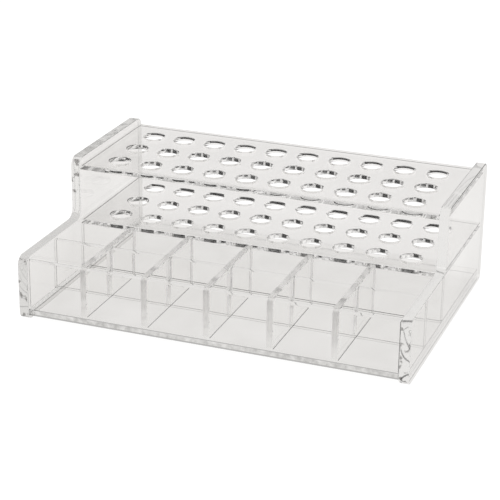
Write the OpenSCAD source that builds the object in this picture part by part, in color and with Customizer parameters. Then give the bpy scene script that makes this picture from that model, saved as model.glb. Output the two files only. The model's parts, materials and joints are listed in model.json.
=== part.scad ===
// Stepped rack of clear sheet: two drilled shelves over a base, and a divided tray in front of them.
// Each piece is a flat sheet, cemented edge to face between two side panels.
// X runs along the rack, Y from front to back, Z up from the table.

/* [Sheet] */
// Thickness of the two side panels
side_t = 6; // [3:0.5:10]
// Thickness of the base, the walls and the dividers
wall_t = 4; // [2:0.5:6]
// Thickness of the two drilled shelves
shelf_t = 3; // [2:0.5:5]
// Film of cement between two cemented sheets
cement_t = 0.1; // [0.05:0.05:0.3]

/* [Rack] */
// Overall width, over both side panels
rack_w = 240; // [220:1:320]
// Overall height, beside the shelves
rack_h = 78; // [60:1:120]
// Height of the low part, beside the tray
low_h = 39.5; // [25:0.5:55]
// Clear height under the base, where the side panels act as feet
foot_h = 3; // [1:0.5:10]
// How far the side panels stand out behind the base and the shelves
back_reveal = 3.5; // [0:0.5:10]
// Radius of the top corners of the side panels
top_r = 6; // [2:0.5:10]
// Radius of the hollow corner in their step
step_r = 6; // [2:0.5:10]
// Radius of their corners at the table
foot_r = 4; // [1:0.5:8]

/* [Shelves] */
// Depth of each shelf, from front to back
shelf_d = 89; // [82:1:120]
// Drop from the top of the side panels to the upper shelf
upper_drop = 4; // [0:0.5:20]
// Drop from the top of their low part to the lower shelf
lower_drop = 1; // [0:0.5:8]
// Diameter of the holes
hole_d = 13.5; // [6:0.5:18]
// Holes along each row
hole_columns = 10; // [1:1:11]
// Rows of holes, from front to back
hole_rows = 3; // [1:1:3]
// Spacing of the holes along a row
column_pitch = 21; // [15:0.5:23]
// Spacing of the rows
row_pitch = 26; // [15:0.5:30]
// From the centres of the rear row to the back edge of the shelf
row_margin = 20; // [8:0.5:28]

/* [Tray] */
// Depth of the tray, from its front face to the face of the riser
tray_d = 72.5; // [40:0.5:110]
// Drop from the low part of the side panels to the front wall and the dividers
wall_drop = 1.5; // [0:0.5:8]
// Place of the middle cross divider, to the right of the middle of the rack
cross_shift = -1.5; // [-10:0.5:10]
// Place of the long divider, behind the middle of the tray
long_shift = -1; // [-15:0.5:15]
// Play of a divider in the slot of the one that it crosses
lap_play = 0.2; // [0.1:0.05:0.5]

/* [Hidden] */

// Clear sheet, and the thin shelves, which read a little darker
clear_tint = [0.90, 0.91, 0.90, 0.45];
shelf_tint = [0.86, 0.87, 0.87, 0.55];

// Across the rack
inner_w = rack_w - 2 * side_t;
sheet_w = inner_w - 2 * cement_t;

// Cross dividers, spaced to make compartments of equal width
cross_count = 5;
cross_pitch = (inner_w + wall_t) / (cross_count + 1);

// From front to back, with the footprint centred on the origin
rack_d = tray_d + shelf_d + back_reveal;
front_y = -rack_d / 2;
riser_y = front_y + tray_d;
shelf_back_y = riser_y + shelf_d;
back_y = shelf_back_y + back_reveal;
wall_back_y = front_y + wall_t;
long_y = (wall_back_y + riser_y) / 2 + long_shift;

// Levels over the table
stand_z = foot_h + wall_t + cement_t;
wall_top_z = low_h - wall_drop;
lower_z = low_h - lower_drop - shelf_t;
upper_z = rack_h - upper_drop - shelf_t;
lap_z = (stand_z + wall_top_z) / 2;

// Slot that lets one divider through another
slot_w = wall_t + lap_play;

// Cuts run this far past the faces that they open
over = 1;
$fn = 96;

// What a round of radius r leaves in the corner of a square, turned by quarter turns about that corner.
// Taken away it rounds an outer corner, and added it fills an inner one.
module corner_at(y, z, quarter_turns, r) {
    translate([y, z]) rotate(90 * quarter_turns) difference() {
        translate([-over, -over]) square(r + over);
        translate([r, r]) circle(r);
    }
}

// Outline of a side panel: low beside the tray, tall beside the shelves
module side_outline() {
    difference() {
        union() {
            translate([front_y, 0]) square([rack_d, low_h]);
            translate([riser_y, 0]) square([back_y - riser_y, rack_h]);
            corner_at(riser_y, low_h, 1, step_r);
        }
        corner_at(front_y, 0, 0, foot_r);
        corner_at(back_y, 0, 1, foot_r);
        corner_at(back_y, rack_h, 2, top_r);
        corner_at(riser_y, rack_h, 3, top_r);
        corner_at(front_y, low_h, 3, top_r);
    }
}

// A side panel whose left face is at x
module side_panel(x) {
    color(clear_tint) translate([x, 0, 0]) rotate([90, 0, 90]) linear_extrude(side_t) side_outline();
}

module left_side_panel() {
    side_panel(-rack_w / 2);
}

module right_side_panel() {
    side_panel(inner_w / 2);
}

// A sheet that spans the rack from one side panel to the other
module spanning_sheet(y, z, depth, height) {
    translate([-sheet_w / 2, y, z]) cube([sheet_w, depth, height]);
}

module base_panel() {
    color(clear_tint) spanning_sheet(front_y, foot_h, shelf_back_y - front_y, wall_t);
}

module front_wall() {
    color(clear_tint) spanning_sheet(front_y, stand_z, wall_t, wall_top_z - stand_z);
}

// Stands on the base and carries the front edge of the lower shelf
module riser_wall() {
    color(clear_tint) spanning_sheet(riser_y, stand_z, wall_t, lower_z - cement_t - stand_z);
}

// A shelf whose underside is at z, with a grid of holes in line with those of the other shelf
module drilled_shelf(z) {
    color(shelf_tint) difference() {
        spanning_sheet(riser_y, z, shelf_d, shelf_t);
        for (column = [0 : hole_columns - 1], row = [0 : hole_rows - 1]) {
            x = (column - (hole_columns - 1) / 2) * column_pitch;
            y = shelf_back_y - row_margin - row * row_pitch;
            translate([x, y, z - over]) cylinder(d = hole_d, h = shelf_t + 2 * over);
        }
    }
}

module lower_shelf() {
    drilled_shelf(lower_z);
}

module upper_shelf() {
    drilled_shelf(upper_z);
}

// Middle of a cross divider, counted from 0 on the left
function cross_x(index) = cross_shift + (index - (cross_count - 1) / 2) * cross_pitch;

// Runs along the tray, with a slot from above for each cross divider
module long_divider() {
    color(clear_tint) difference() {
        spanning_sheet(long_y - wall_t / 2, stand_z, wall_t, wall_top_z - stand_z);
        for (index = [0 : cross_count - 1]) {
            translate([cross_x(index) - slot_w / 2, long_y - wall_t / 2 - over, lap_z - lap_play / 2])
                cube([slot_w, wall_t + 2 * over, wall_top_z]);
        }
    }
}

// Runs from the front wall to the riser, with a slot from below that laps over the long divider
module cross_divider(index) {
    left_x = cross_x(index) - wall_t / 2;
    front_end_y = wall_back_y + cement_t;
    color(clear_tint) difference() {
        translate([left_x, front_end_y, stand_z])
            cube([wall_t, riser_y - cement_t - front_end_y, wall_top_z - stand_z]);
        translate([left_x - over, long_y - slot_w / 2, stand_z - over])
            cube([wall_t + 2 * over, slot_w, lap_z + lap_play / 2 - stand_z + over]);
    }
}

left_side_panel();
right_side_panel();
base_panel();
front_wall();
riser_wall();
lower_shelf();
upper_shelf();
long_divider();
for (index = [0 : cross_count - 1]) {
    cross_divider(index);
}
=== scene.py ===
import json
import math

import bmesh
import bpy
from mathutils import Matrix, Quaternion, Vector


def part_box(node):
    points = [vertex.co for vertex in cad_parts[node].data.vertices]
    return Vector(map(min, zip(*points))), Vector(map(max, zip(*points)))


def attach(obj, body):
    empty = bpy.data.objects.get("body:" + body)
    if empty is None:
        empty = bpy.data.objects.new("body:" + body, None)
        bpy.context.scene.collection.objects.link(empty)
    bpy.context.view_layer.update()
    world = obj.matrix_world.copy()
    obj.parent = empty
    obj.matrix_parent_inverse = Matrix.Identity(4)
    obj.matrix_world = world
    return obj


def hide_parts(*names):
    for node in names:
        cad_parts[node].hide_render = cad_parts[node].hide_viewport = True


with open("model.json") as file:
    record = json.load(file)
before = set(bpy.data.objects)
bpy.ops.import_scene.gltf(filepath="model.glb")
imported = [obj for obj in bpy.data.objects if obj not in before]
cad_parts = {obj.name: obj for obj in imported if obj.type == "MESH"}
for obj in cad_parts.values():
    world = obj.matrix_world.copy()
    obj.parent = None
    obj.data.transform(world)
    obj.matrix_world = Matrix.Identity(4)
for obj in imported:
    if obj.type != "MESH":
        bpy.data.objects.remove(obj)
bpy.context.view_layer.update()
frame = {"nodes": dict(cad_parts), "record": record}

scene = bpy.context.scene
scene.view_settings.view_transform = "Standard"
mm = 0.001
print("frame loaded:", len(frame["nodes"]), "sheets")


# Camera, at the photograph's viewing angle
cameraView = {
    "azimuth": 20.64,                          # degrees
    "elevation": 22.23,
    "roll": 0.64,
    "distance": 1.0874,                        # metres
    "aim": (-0.0259, 0.0553, 0.0064),
    "lens": 120.96,
    "sensor": 36.0,
}


def placeCamera(view):
    azimuth = math.radians(view["azimuth"])
    elevation = math.radians(view["elevation"])
    back = Vector((
        math.sin(azimuth) * math.cos(elevation),
        -math.cos(azimuth) * math.cos(elevation),
        math.sin(elevation),
    ))
    data = bpy.data.cameras.new("rackCamera")
    data.lens = view["lens"]
    data.sensor_width = view["sensor"]
    camera = bpy.data.objects.new("rackCamera", data)
    scene.collection.objects.link(camera)
    camera.location = Vector(view["aim"]) + back * view["distance"]
    camera.rotation_mode = "QUATERNION"
    level = (-back).to_track_quat("-Z", "Y")
    camera.rotation_quaternion = level @ Quaternion((0, 0, 1), math.radians(view["roll"]))
    scene.camera = camera


placeCamera(cameraView)
print("camera placed")


# Clear acrylic: one plastic in the finishes that cutting, drilling and handling leave, plus dark and grey
# tints that paint shade on some edges and arrises
acrylic = {
    "tints": {                                 # deepest and palest
        "upright": ((0.982, 0.980, 0.977), (0.994, 0.993, 0.991)),
        "floor": ((0.935, 0.932, 0.926), (0.997, 0.996, 0.993)),
        "shelf": ((0.930, 0.926, 0.920), (0.968, 0.965, 0.960)),
        "thick": ((0.850, 0.846, 0.838), (0.942, 0.938, 0.931)),
        "top": ((0.92, 0.92, 0.915), (1.0, 1.0, 1.0)),
        "mottled": ((0.35, 0.35, 0.34), (0.93, 0.93, 0.92)),
        "blotched": ((0.16, 0.155, 0.15), (0.97, 0.97, 0.96)),
    },
    "clouds": {"drift": 14.0, "patches": 45.0, "mottling": 220.0},     # per metre
    "cloudDetail": 2.0,
    "tintSpread": (0.3, 0.7),
    "markDetail": 4.0,
    "markSpread": (0.35, 0.7),
    "markDepth": 0.05 * mm,
    "lampTint": (0.98, 0.98, 0.977, 1),        # lamps shine through, so the shadow stays faint
}
# marks are per metre, through the sheet and along it
finishes = {
    "thickFace": {
        "ior": 1.3, "tints": "thick", "clouds": "drift", "rough": (0.0, 0.02), "marks": (60, 60),
    },
    "uprightFace": {
        "ior": 1.3, "tints": "upright", "clouds": "drift", "rough": (0.0, 0.02), "marks": (60, 60),
    },
    "baseFace": {
        "ior": 1.02, "tints": "floor", "clouds": "patches", "rough": (0.0, 0.04), "marks": (60, 60),
    },
    "shelfFace": {
        "ior": 1.15, "tints": "shelf", "clouds": "drift", "rough": (0.05, 0.11), "marks": (60, 60),
    },
    "sawnEdge": {
        "ior": 1.3, "tints": "upright", "clouds": "drift", "rough": (0.3, 0.5), "marks": (40, 250),
    },
    "softTop": {
        "ior": 1.16, "tints": "top", "clouds": "patches", "rough": (0.25, 0.4), "marks": (40, 250),
    },
    "flameEdge": {
        "ior": 1.49, "tints": "upright", "clouds": "drift", "rough": (0.05, 0.13), "marks": (30, 400),
    },
    "dullEdge": {
        "ior": 1.2, "tints": "upright", "clouds": "drift", "rough": (0.05, 0.2), "marks": (30, 400),
    },
    "mottledEdge": {
        "ior": 1.49, "tints": "mottled", "clouds": "mottling", "rough": (0.05, 0.13), "marks": (30, 400),
    },
    "blotchedEdge": {
        "ior": 1.49, "tints": "blotched", "clouds": "mottling", "rough": (0.05, 0.13), "marks": (30, 400),
        "spread": (0.37, 0.45),
    },
    "drilledWall": {
        "ior": 1.49, "tints": "upright", "clouds": "drift", "rough": (0.0, 0.05), "marks": (30, 1500),
        "bump": 0.03,
    },
    "seeThrough": {"ior": 1.0, "tint": (0.98, 0.98, 0.975, 1)},        # cemented, so it all but vanishes
    # painted shade: a grey tint darkens the side panels' back edges and the left panel's bottom edge
    "shadedEdge": {"ior": 1.0, "tint": (0.76, 0.76, 0.75, 1)},
    # painted shade: a near-black tint on arrises where the sheets' edges show dark lines; on the base it
    # also marks the dark cement run at the cross dividers' feet
    "darkLine": {"ior": 1.0, "tint": (0.08, 0.08, 0.08, 1)},
    # painted shade: a grey tint on arrises and along the foot of the base's front face
    "paleLine": {"ior": 1.0, "tint": (0.35, 0.35, 0.35, 1)},
}


def wire(tree, fromSocket, toSocket):
    tree.links.new(fromSocket, toSocket)


def noiseOnObject(tree, scale, detail):
    where = tree.nodes.new("ShaderNodeTexCoord")
    turn = tree.nodes.new("ShaderNodeMapping")
    turn.inputs["Scale"].default_value = scale
    noise = tree.nodes.new("ShaderNodeTexNoise")
    noise.inputs["Scale"].default_value = 1.0
    noise.inputs["Detail"].default_value = detail
    wire(tree, where.outputs["Object"], turn.inputs["Vector"])
    wire(tree, turn.outputs["Vector"], noise.inputs["Vector"])
    return noise.outputs["Fac"]


def acrylicMaterial(name, finish, axis):
    material = bpy.data.materials.new(name)
    material.use_nodes = True
    tree = material.node_tree
    shader = tree.nodes["Principled BSDF"]
    shader.inputs["IOR"].default_value = finish["ior"]
    shader.inputs["Transmission Weight"].default_value = 1.0

    if "tint" in finish:
        shader.inputs["Base Color"].default_value = finish["tint"]
        shader.inputs["Roughness"].default_value = 0.0
    else:
        tintAndMark(tree, shader, finish, axis)

    # lamps shine through
    rays = tree.nodes.new("ShaderNodeLightPath")
    clear = tree.nodes.new("ShaderNodeBsdfTransparent")
    clear.inputs["Color"].default_value = acrylic["lampTint"]
    either = tree.nodes.new("ShaderNodeMixShader")
    wire(tree, rays.outputs["Is Shadow Ray"], either.inputs["Fac"])
    wire(tree, shader.outputs["BSDF"], either.inputs[1])
    wire(tree, clear.outputs["BSDF"], either.inputs[2])
    wire(tree, either.outputs["Shader"], tree.nodes["Material Output"].inputs["Surface"])
    return material


def tintAndMark(tree, shader, finish, axis):
    # tint drifts through the sheet
    cloud = noiseOnObject(tree, (acrylic["clouds"][finish["clouds"]],) * 3, acrylic["cloudDetail"])
    tint = tree.nodes.new("ShaderNodeValToRGB")
    deep, pale = acrylic["tints"][finish["tints"]]
    low, high = finish.get("spread", acrylic["tintSpread"])
    tint.color_ramp.elements[0].position = low
    tint.color_ramp.elements[0].color = (*deep, 1)
    tint.color_ramp.elements[1].position = high
    tint.color_ramp.elements[1].color = (*pale, 1)
    wire(tree, cloud, tint.inputs["Fac"])
    wire(tree, tint.outputs["Color"], shader.inputs["Base Color"])

    # tool marks roughen it in streaks
    through, along = finish["marks"]
    scale = [along] * 3
    scale[axis] = through
    marks = noiseOnObject(tree, scale, acrylic["markDetail"])
    haze = tree.nodes.new("ShaderNodeMapRange")
    haze.inputs["From Min"].default_value, haze.inputs["From Max"].default_value = acrylic["markSpread"]
    haze.inputs["To Min"].default_value, haze.inputs["To Max"].default_value = finish["rough"]
    wire(tree, marks, haze.inputs["Value"])
    wire(tree, haze.outputs["Result"], shader.inputs["Roughness"])
    if "bump" in finish:
        ridges = tree.nodes.new("ShaderNodeBump")
        ridges.inputs["Strength"].default_value = finish["bump"]
        ridges.inputs["Distance"].default_value = acrylic["markDepth"]
        wire(tree, marks, ridges.inputs["Height"])
        wire(tree, ridges.outputs["Normal"], shader.inputs["Normal"])


mixed = {}


def acrylicLook(name, axis):
    label = name + "XYZ"[axis]
    if label not in mixed:
        mixed[label] = acrylicMaterial(label, finishes[name], axis)
    return mixed[label]


print("finishes listed:", len(finishes))


# Sheet work shared by every piece
arris = {
    "width": 0.35 * mm,
    "segments": 2,
    "sharpest": math.radians(35),              # edges that turn more than this are broken
    "reach": 0.525 * mm,                       # a face this near the sheet's box lies on that side of it
}
facing = {"square": 0.98, "leaning": 0.6}      # share of a face's normal along an axis


def loopOf(bm, points):
    verts = [bm.verts.new(point) for point in points]
    return [bm.edges.new((verts[i - 1], verts[i])) for i in range(len(verts))]


def thicken(bm, face, axis, thickness):
    grown = bmesh.ops.extrude_face_region(bm, geom=[face])["geom"]
    farVerts = [item for item in grown if isinstance(item, bmesh.types.BMVert)]
    push = Vector((0, 0, 0))
    push[axis] = thickness
    bmesh.ops.translate(bm, verts=farVerts, vec=push)
    bmesh.ops.recalc_face_normals(bm, faces=bm.faces)


def breakArrises(bm):
    sharp = [
        edge for edge in bm.edges
        if edge.is_convex and edge.calc_face_angle(0) > arris["sharpest"]
    ]
    made = bmesh.ops.bevel(
        bm, geom=sharp, offset=arris["width"], offset_type="OFFSET", affect="EDGES",
        segments=arris["segments"], profile=0.5, material=-1, clamp_overlap=True,
    )
    return made["faces"]


def nearSide(face, box, side):
    axis = "xyz".index(side[1])
    edge = box["-+".index(side[0])][axis]
    return abs(face.calc_center_median()[axis] - edge) < arris["reach"]


def facesSide(face, side):
    along = face.normal["xyz".index(side[1])]
    return (along if side[0] == "+" else -along) > facing["leaning"]


# Each piece's cut names its looks: "face" for the flat sides, "edges" by the side an edge points to,
# "lines" for broken arrises by the side they lie on, "edge" for the rest of the outline, and "inner",
# "inners" and "rim" for steps, slots and holes. The first side that fits counts.
def edgeLook(face, box, cut, isArris):
    outline = [end + across for across in "xyz" if across != "xyz"[cut["axis"]] for end in "-+"]
    if any(nearSide(face, box, side) for side in outline):
        looks = [look for side, look in cut["lines"].items() if isArris and nearSide(face, box, side)]
        looks += [look for side, look in cut["edges"].items() if facesSide(face, side)]
        looks.append(cut["edge"])
    elif isArris:
        looks = [cut["rim"]]
    else:
        looks = [look for side, look in cut.get("inners", {}).items() if facesSide(face, side)]
        looks.append(cut["inner"])
    return looks[0]


def finishSheet(bm, node, cut, arrisFaces, named=None):
    bmesh.ops.recalc_face_normals(bm, faces=bm.faces)
    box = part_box(node)
    broken = set(arrisFaces)
    named = named or {}
    flat = set()
    looks = []
    for face in bm.faces:
        face.smooth = True
        if face in named:
            look = named[face]
        elif abs(face.normal[cut["axis"]]) > facing["square"]:
            flat.add(face)
            look = cut["face"]
        else:
            look = edgeLook(face, box, cut, face in broken)
        if look not in looks:
            looks.append(look)
        face.material_index = looks.index(look)
    for edge in bm.edges:
        meetsFlat = any(face in flat for face in edge.link_faces)
        edge.smooth = not meetsFlat and edge.calc_face_angle(0) < arris["sharpest"]
    mesh = bpy.data.meshes.new(node + "_sheet")
    bm.to_mesh(mesh)
    bm.free()
    for look in looks:
        mesh.materials.append(acrylicLook(look, cut["axis"]))
    piece = bpy.data.objects.new(node + "_sheet", mesh)
    scene.collection.objects.link(piece)
    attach(piece, "root")
    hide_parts(node)


# Side panels: stepped outline with rounded corners
sidePanel = {
    "lowTop": 39.5 * mm,
    "topRadius": 6 * mm,
    "stepRadius": 6 * mm,
    "footRadius": 4 * mm,
    "cornerSegments": 16,
    "cuts": {
        "left_side_panel": {
            "axis": 0, "slot": "thick_sheet",
            "face": "thickFace", "edge": "mottledEdge", "inner": "softTop", "rim": "softTop",
            "edges": {"-z": "shadedEdge", "+y": "shadedEdge", "-y": "blotchedEdge"},
            "lines": {"+z": "paleLine", "-z": "paleLine", "+y": "paleLine"},
            "inners": {"-y": "blotchedEdge"},
        },
        "right_side_panel": {
            "axis": 0, "slot": "thick_sheet",
            "face": "thickFace", "edge": "flameEdge", "inner": "dullEdge", "rim": "dullEdge",
            "edges": {"-z": "seeThrough", "+y": "shadedEdge", "-y": "blotchedEdge"},
            "lines": {"+z": "darkLine", "-z": "darkLine", "+y": "paleLine"},
        },
    },
}


def makeSidePanel(node, cut):
    lo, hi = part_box(node)
    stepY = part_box("riser_wall")[0].y
    low = sidePanel["lowTop"]
    corners = [
        (lo.y, lo.z, "footRadius"), (hi.y, lo.z, "footRadius"), (hi.y, hi.z, "topRadius"),
        (stepY, hi.z, "topRadius"), (stepY, low, "stepRadius"), (lo.y, low, "topRadius"),
    ]
    bm = bmesh.new()
    verts = [bm.verts.new((lo.x, y, z)) for y, z, radius in corners]
    bm.faces.new(verts)
    for vert, (y, z, radius) in zip(verts, corners):
        bmesh.ops.bevel(
            bm, geom=[vert], offset=sidePanel[radius], offset_type="OFFSET", affect="VERTICES",
            segments=sidePanel["cornerSegments"], profile=0.5, material=-1,
        )
    thicken(bm, bm.faces[:][0], cut["axis"], hi.x - lo.x)
    finishSheet(bm, node, cut, breakArrises(bm))


for node, cut in sidePanel["cuts"].items():
    makeSidePanel(node, cut)
print("side panels cut")


# Base: floor of the tray, with the cement run along the right foot of each cross divider
base = {
    "footShade": 1.1 * mm,                     # painted shade along the foot of its front face
    "cement": 0.5 * mm,
    "cut": {
        "axis": 2, "slot": "thin_sheet", "face": "baseFace", "edge": "mottledEdge",
        "edges": {"-x": "sawnEdge", "+x": "sawnEdge", "+y": "seeThrough"},
        "lines": {"-y": "paleLine", "-x": "paleLine", "+x": "paleLine", "+y": "paleLine"},
    },
}
crossNodes = sorted(name for name in frame["nodes"] if name.startswith("cross_divider"))


def plainSheet(node):
    lo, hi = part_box(node)
    bm = bmesh.new()
    bmesh.ops.create_cube(bm, size=1.0)
    bmesh.ops.scale(bm, verts=bm.verts, vec=hi - lo)
    bmesh.ops.translate(bm, verts=bm.verts, vec=(lo + hi) / 2)
    return bm


def score(bm, axis, at):
    across = Vector((0, 0, 0))
    across[axis] = 1
    bmesh.ops.bisect_plane(
        bm, geom=bm.verts[:] + bm.edges[:] + bm.faces[:], plane_co=across * at, plane_no=across,
    )


def makeBase():
    bm = plainSheet("base_panel")
    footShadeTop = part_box("base_panel")[0].z + base["footShade"]
    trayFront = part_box("front_wall")[1].y
    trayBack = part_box("riser_wall")[0].y
    beads = [(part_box(node)[1].x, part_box(node)[1].x + base["cement"]) for node in crossNodes]
    score(bm, 2, footShadeTop)
    score(bm, 1, trayFront)
    score(bm, 1, trayBack)
    for bead in beads:
        score(bm, 0, bead[0])
        score(bm, 0, bead[1])
    broken = breakArrises(bm)
    bmesh.ops.recalc_face_normals(bm, faces=bm.faces)
    named = {}
    for face in bm.faces:
        middle = face.calc_center_median()
        # painted shade: the foot of the front face gets the grey line tint; the cement beads get the dark
        # line tint
        if face.normal.y < -facing["square"] and middle.z < footShadeTop:
            named[face] = "paleLine"
        elif face.normal.z > facing["square"] and trayFront < middle.y < trayBack:
            if any(bead[0] < middle.x < bead[1] for bead in beads):
                named[face] = "darkLine"
    finishSheet(bm, "base_panel", base["cut"], broken, named)


makeBase()
print("base scored:", len(crossNodes), "cement lines")


# Front wall and riser: plain sheets standing on the base
walls = {
    "front_wall": {
        "axis": 1, "slot": "thin_sheet", "face": "uprightFace", "edge": "flameEdge",
        "edges": {"-x": "seeThrough", "+x": "seeThrough", "-z": "seeThrough", "+z": "dullEdge"},
        "lines": {"-z": "seeThrough", "-x": "paleLine", "+x": "darkLine", "+z": "dullEdge"},
    },
    "riser_wall": {
        "axis": 1, "slot": "thin_sheet", "face": "uprightFace", "edge": "flameEdge",
        "edges": {"-x": "seeThrough", "+x": "seeThrough", "-z": "seeThrough", "+z": "seeThrough"},
        "lines": {"-z": "darkLine", "-x": "paleLine", "+x": "paleLine"},
    },
}


def makeWall(node, cut):
    bm = plainSheet(node)
    finishSheet(bm, node, cut, breakArrises(bm))


for node, cut in walls.items():
    makeWall(node, cut)
print("walls cut")


# Dividers: half-lapped strips
divider = {
    "lapPlay": 0.2 * mm,
    "longCut": {
        "axis": 1, "slot": "thin_sheet",
        "face": "uprightFace", "edge": "flameEdge", "inner": "sawnEdge", "rim": "sawnEdge",
        "edges": {"-x": "seeThrough", "+x": "seeThrough", "-z": "seeThrough", "+z": "dullEdge"},
        "lines": {"-x": "paleLine", "+x": "paleLine", "-z": "paleLine", "+y": "darkLine", "+z": "dullEdge"},
    },
    "crossCut": {
        "axis": 0, "slot": "thin_sheet",
        "face": "uprightFace", "edge": "sawnEdge", "inner": "sawnEdge", "rim": "sawnEdge",
        "edges": {"-z": "seeThrough", "+z": "softTop"},
        "lines": {"+y": "paleLine", "+x": "seeThrough", "-z": "seeThrough", "+z": "softTop"},
    },
}


def makeLongDivider(cut):
    lo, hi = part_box("long_divider")
    level = (lo.z + hi.z - divider["lapPlay"]) / 2
    outline = [(lo.x, lo.z), (hi.x, lo.z), (hi.x, hi.z)]
    for node in reversed(crossNodes):
        left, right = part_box(node)
        slot = (left.x - divider["lapPlay"] / 2, right.x + divider["lapPlay"] / 2)
        outline += [(slot[1], hi.z), (slot[1], level), (slot[0], level), (slot[0], hi.z)]
    outline.append((lo.x, hi.z))
    bm = bmesh.new()
    face = bm.faces.new([bm.verts.new((x, lo.y, z)) for x, z in outline])
    thicken(bm, face, cut["axis"], hi.y - lo.y)
    finishSheet(bm, "long_divider", cut, breakArrises(bm))


def makeCrossDivider(node, cut):
    lo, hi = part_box(node)
    front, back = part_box("long_divider")
    level = (lo.z + hi.z + divider["lapPlay"]) / 2
    slot = (front.y - divider["lapPlay"] / 2, back.y + divider["lapPlay"] / 2)
    outline = [
        (lo.y, lo.z), (slot[0], lo.z), (slot[0], level), (slot[1], level), (slot[1], lo.z),
        (hi.y, lo.z), (hi.y, hi.z), (lo.y, hi.z),
    ]
    bm = bmesh.new()
    face = bm.faces.new([bm.verts.new((lo.x, y, z)) for y, z in outline])
    thicken(bm, face, cut["axis"], hi.x - lo.x)
    finishSheet(bm, node, cut, breakArrises(bm))


makeLongDivider(divider["longCut"])
for node in crossNodes:
    makeCrossDivider(node, divider["crossCut"])
print("dividers lapped:", len(crossNodes), "across")


# Drilled shelves: the holes are where the record's bores are
shelf = {
    "holeSegments": 96,
    "polished": 1.5 * mm,                      # upper band of every edge and hole
    "cut": {
        "axis": 2, "slot": "drilled_sheet",
        "face": "shelfFace", "edge": "flameEdge", "inner": "drilledWall", "rim": "seeThrough",
        "edges": {"-x": "seeThrough", "+x": "seeThrough"},
        "lines": {"-x": "darkLine", "+x": "darkLine", "+y": "darkLine"},
    },
    "wornNode": "upper_shelf",                 # its front edge changes from left to right
    "frontBreaks": (-97 * mm, -2 * mm, 20 * mm),
    "frontLooks": (                            # upper and lower band
        ("sawnEdge", "sawnEdge"),
        ("flameEdge", "seeThrough"),
        ("dullEdge", "seeThrough"),
        ("seeThrough", "seeThrough"),
    ),
    "leftBacks": "seeThrough",                 # back of the lower band in the outermost holes
    "rearBacks": {"lower_shelf": "dullEdge", "upper_shelf": "seeThrough"},
}
holes = [
    (Vector(mount["pos_m"][:2]), mount["dims"]["r_mm"] * mm)
    for mount in frame["record"]["mounts"] if mount["kind"] == "bore"
]
leftColumn = min(centre.x for centre, radius in holes)
rearRow = max(centre.y for centre, radius in holes)


def rimLoop(bm, lo, hi, inset, z):
    x0, x1 = lo.x + inset, hi.x - inset
    y0, y1 = lo.y + inset, hi.y - inset
    front = [(x, y0, z) for x in (x0, *shelf["frontBreaks"], x1)]
    return loopOf(bm, front + [(x1, y1, z), (x0, y1, z)])


def holeLoop(bm, centre, radius, z):
    made = bmesh.ops.create_circle(
        bm, segments=shelf["holeSegments"], radius=radius, cap_ends=False,
        matrix=Matrix.Translation((centre.x, centre.y, z)),
    )
    return list(dict.fromkeys(edge for vert in made["verts"] for edge in vert.link_edges))


def frontLooks(bands, frontY):
    named = {}
    for level, band in enumerate(bands):
        for face in band:
            middle = face.calc_center_median()
            if middle.y - frontY < arris["width"]:
                stretch = sum(middle.x > x for x in shelf["frontBreaks"])
                named[face] = shelf["frontLooks"][stretch][level]
    return named


def backLooks(node, centre, band):
    if centre.x == leftColumn:
        look = shelf["leftBacks"]
    elif centre.y == rearRow:
        look = shelf["rearBacks"][node]
    else:
        return {}
    return {face: look for face in band if face.calc_center_median().y > centre.y}


def makeShelf(node):
    lo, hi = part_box(node)
    width = arris["width"]
    polishedTo = hi.z - shelf["polished"]
    levels = [(width, hi.z), (0, hi.z - width), (0, polishedTo), (0, lo.z + width), (width, lo.z)]
    bm = bmesh.new()
    edgeLoops = [[rimLoop(bm, lo, hi, inset, z) for inset, z in levels]]
    for centre, radius in holes:
        edgeLoops.append([holeLoop(bm, centre, radius + inset, z) for inset, z in levels])
    bands = [
        [bmesh.ops.bridge_loops(bm, edges=a + b)["faces"] for a, b in zip(loops, loops[1:])]
        for loops in edgeLoops
    ]
    rim, drilled = bands[0], bands[1:]
    named = frontLooks(rim[1:3], lo.y) if node == shelf["wornNode"] else {}
    for (centre, radius), (top, upper, lower, foot) in zip(holes, drilled):
        named.update(backLooks(node, centre, lower))
    broken = [face for band in bands for face in band[0] + band[-1]]
    for end in (0, -1):
        rims = [edge for loops in edgeLoops for edge in loops[end]]
        bmesh.ops.triangle_fill(bm, edges=rims, use_beauty=True, use_dissolve=False)
    finishSheet(bm, node, shelf["cut"], broken, named)


makeShelf("lower_shelf")
makeShelf("upper_shelf")
print("shelves drilled:", len(holes), "holes each")


# Stage: pale floor, white surround, a dark ribbon for the glass to pick up, one soft lamp
stage = {
    "floorSize": 8.0,
    "floorDrop": 0.2 * mm,
    "floorColour": (0.86, 0.85, 0.84, 1),
    "floorRoughness": 0.9,
    "floorGlow": 0.75,
    "white": (1, 1, 1, 1),
    "floorInGlass": (0.745, 0.734, 0.725, 1),  # painted shade: in the sheets' reflections and through them the floor is a shade greyer than white
    # painted shade: the surround is grey in the sheets' reflections and through them
    "wallInGlass": (0.60, 0.59, 0.582, 1),
    "fill": (0.35, 0.35, 0.35, 1),
    "ribbonRadius": 2.0,
    "ribbonHeights": (0.58, 1.02),
    "ribbonSpans": ((-50, 20), (80, 260)),     # azimuths from the back, degrees
    "ribbonSegments": 120,
    "ribbonColour": (0.02, 0.02, 0.02, 1),
    "ribbonRoughness": 1.0,
}
mixSockets = {"share": 0, "first": 6, "second": 7, "out": 2}           # of a Mix node set to colours


def mixColours(tree, share, first, second):
    blend = tree.nodes.new("ShaderNodeMix")
    blend.data_type = "RGBA"
    wire(tree, share, blend.inputs[mixSockets["share"]])
    for name, colour in (("first", first), ("second", second)):
        socket = blend.inputs[mixSockets[name]]
        if isinstance(colour, bpy.types.NodeSocket):
            wire(tree, colour, socket)
        else:
            socket.default_value = colour
    return blend.outputs[mixSockets["out"]]


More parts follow.
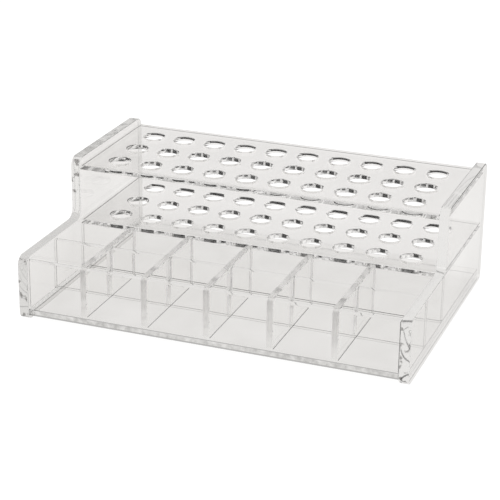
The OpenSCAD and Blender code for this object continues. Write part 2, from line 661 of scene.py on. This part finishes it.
def backgroundRays(tree, toneInGlass):
    rays = tree.nodes.new("ShaderNodeLightPath")
    shared = rays.outputs["Is Camera Ray"]
    for name in ("Is Glossy Ray", "Is Transmission Ray"):
        either = tree.nodes.new("ShaderNodeMath")
        either.operation = "MAXIMUM"
        wire(tree, shared, either.inputs[0])
        wire(tree, rays.outputs[name], either.inputs[1])
        shared = either.outputs["Value"]
    return shared, mixColours(tree, rays.outputs["Is Camera Ray"], toneInGlass, stage["white"])


def setOut(name, bm):
    mesh = bpy.data.meshes.new(name)
    bm.to_mesh(mesh)
    bm.free()
    thing = bpy.data.objects.new(name, mesh)
    scene.collection.objects.link(thing)
    return thing


def matteMaterial(name, colour, roughness):
    material = bpy.data.materials.new(name)
    material.use_nodes = True
    shader = material.node_tree.nodes["Principled BSDF"]
    shader.inputs["Base Color"].default_value = colour
    shader.inputs["Roughness"].default_value = roughness
    shader.inputs["Specular IOR Level"].default_value = 0.0
    return material


def layFloor():
    bm = bmesh.new()
    bmesh.ops.create_grid(bm, x_segments=1, y_segments=1, size=stage["floorSize"] / 2)
    bmesh.ops.translate(bm, verts=bm.verts, vec=(0, 0, -stage["floorDrop"]))
    floor = setOut("floor", bm)
    material =matteMaterial("paleFloor", stage["floorColour"], stage["floorRoughness"])
    floor.data.materials.append(material)

    # white to the camera, with the shadow showing through; reflections and rays through the sheets get the
    # floor's painted greyer tone
    tree = material.node_tree
    glow = tree.nodes.new("ShaderNodeEmission")
    shared, tone = backgroundRays(tree, stage["floorInGlass"])
    wire(tree, tone, glow.inputs["Color"])
    share = tree.nodes.new("ShaderNodeMath")
    share.operation = "MULTIPLY"
    share.inputs[1].default_value = stage["floorGlow"]
    either = tree.nodes.new("ShaderNodeMixShader")
    wire(tree, shared, share.inputs[0])
    wire(tree, share.outputs["Value"], either.inputs["Fac"])
    wire(tree, tree.nodes["Principled BSDF"].outputs["BSDF"], either.inputs[1])
    wire(tree, glow.outputs["Emission"], either.inputs[2])
    wire(tree, either.outputs["Shader"], tree.nodes["Material Output"].inputs["Surface"])


def hangRibbon():
    foot, head = stage["ribbonHeights"]
    bm = bmesh.new()
    bmesh.ops.create_cone(
        bm, cap_ends=False, segments=stage["ribbonSegments"], depth=head - foot,
        radius1=stage["ribbonRadius"], radius2=stage["ribbonRadius"],
    )
    bmesh.ops.translate(bm, verts=bm.verts, vec=(0, 0, (foot + head) / 2))
    gaps = []
    for face in bm.faces:
        middle = face.calc_center_median()
        azimuth = math.degrees(math.atan2(middle.x, middle.y))
        if not any((azimuth - first) % 360 < last - first for first, last in stage["ribbonSpans"]):
            gaps.append(face)
    bmesh.ops.delete(bm, geom=gaps, context="FACES")
    ribbon = setOut("darkRibbon", bm)
    material = matteMaterial("ribbonCloth", stage["ribbonColour"], stage["ribbonRoughness"])
    ribbon.data.materials.append(material)
    ribbon.visible_camera = False
    ribbon.visible_diffuse = False
    ribbon.visible_glossy = False
    ribbon.visible_shadow = False


def paintWorld():
    world = bpy.data.worlds.new("surround")
    world.use_nodes = True
    tree = world.node_tree
    shared, tone = backgroundRays(tree, stage["wallInGlass"])
    level = mixColours(tree, shared, stage["fill"], tone)
    wire(tree, level, tree.nodes["Background"].inputs["Color"])
    scene.world = world


lamps = {
    "overhead": {"at": (0.0, -0.1, 1.5), "aim": (0, 0, 0), "size": 2.4, "power": 60},
}


def hangLamp(name, look):
    data = bpy.data.lights.new(name, "AREA")
    data.shape = "SQUARE"
    data.size = look["size"]
    data.energy = look["power"]
    lamp = bpy.data.objects.new(name, data)
    scene.collection.objects.link(lamp)
    lamp.visible_glossy = False
    lamp.visible_transmission = False
    lamp.location = look["at"]
    lamp.rotation_mode = "QUATERNION"
    lamp.rotation_quaternion = (Vector(look["aim"]) - Vector(look["at"])).to_track_quat("-Z", "Y")


layFloor()
hangRibbon()
paintWorld()
for name, look in lamps.items():
    hangLamp(name, look)
print("stage set")


# Many clear walls stand behind each other, so light needs many bounces
bounces = {"all": 48, "through": 48, "mirror": 24}
scene.cycles.max_bounces = bounces["all"]
scene.cycles.transmission_bounces = bounces["through"]
scene.cycles.glossy_bounces = bounces["mirror"]
scene.cycles.transparent_max_bounces = bounces["through"]
scene.cycles.caustics_reflective = False
scene.cycles.caustics_refractive = False
